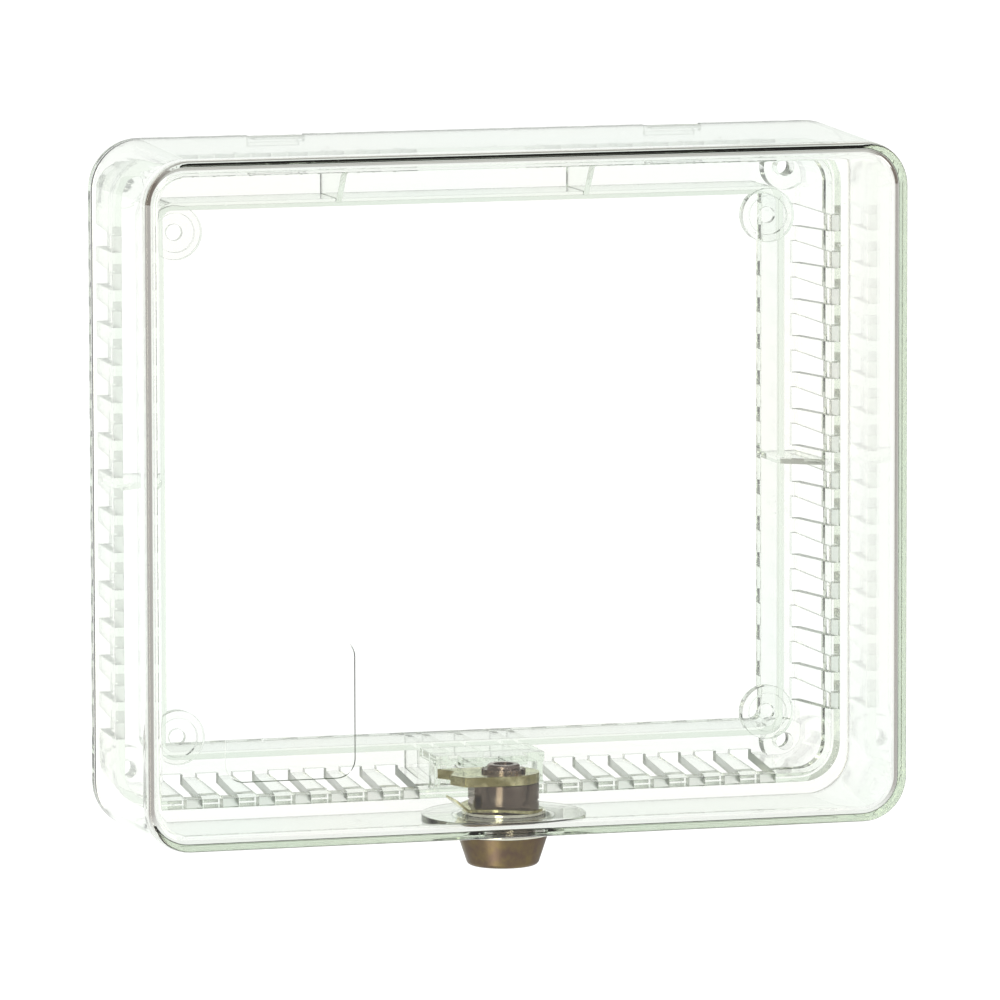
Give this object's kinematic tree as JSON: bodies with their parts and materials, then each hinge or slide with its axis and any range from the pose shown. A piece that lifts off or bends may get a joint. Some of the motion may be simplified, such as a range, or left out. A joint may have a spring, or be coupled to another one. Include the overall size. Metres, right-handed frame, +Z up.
{
  "type": "thermostat lock box",
  "caption": "Clear plastic guard box for a wall thermostat, with a vented base ring, a cover that hooks on at the top and a key cylinder lock at the bottom.",
  "frame": {"origin": "centre of the four wall screw holes, on the wall plane", "axes": "+X to the right, +Y into the wall, +Z up; the room is on the -Y side"},
  "size_m": [0.2118, 0.075, 0.1946],
  "materials": {
    "cover_plastic": "clear, polished",
    "base_plastic": "clear, polished",
    "lock_body": "dark nickel plate",
    "lock_head": "satin bronze",
    "bright_trim": "bright plate",
    "plated_steel": "yellow zinc plate",
    "dark_steel": "dark plate",
    "plug_brass": "machined"
  },
  "bodies": {
    "base": {"base_ring": "base_plastic"},
    "cover": {"cover_shell": "cover_plastic", "lock_housing": "lock_body", "head_cap": "lock_head", "collar_ring": "bright_trim", "backing_washer": "bright_trim", "retaining_clip": "plated_steel"},
    "plug": {"lock_plug": "plug_brass", "lock_cam": "plated_steel", "cam_washer": "dark_steel", "cam_screw": "dark_steel", "tumblers": "plug_brass", "tumbler_springs": "bright_trim"}
  },
  "joints": [
    {"name": "cover_swing", "type": "hinge", "parent": "base", "child": "cover", "pos_m": [0, -0.0229, 0.091], "axis": [-1, 0, 0], "range_deg": [0, 15]},
    {"name": "lock_turn", "type": "hinge", "parent": "cover", "child": "plug", "pos_m": [0, -0.0475, -0.088], "axis": [0, 0, -1], "range_deg": [0, 90]}
  ]
}
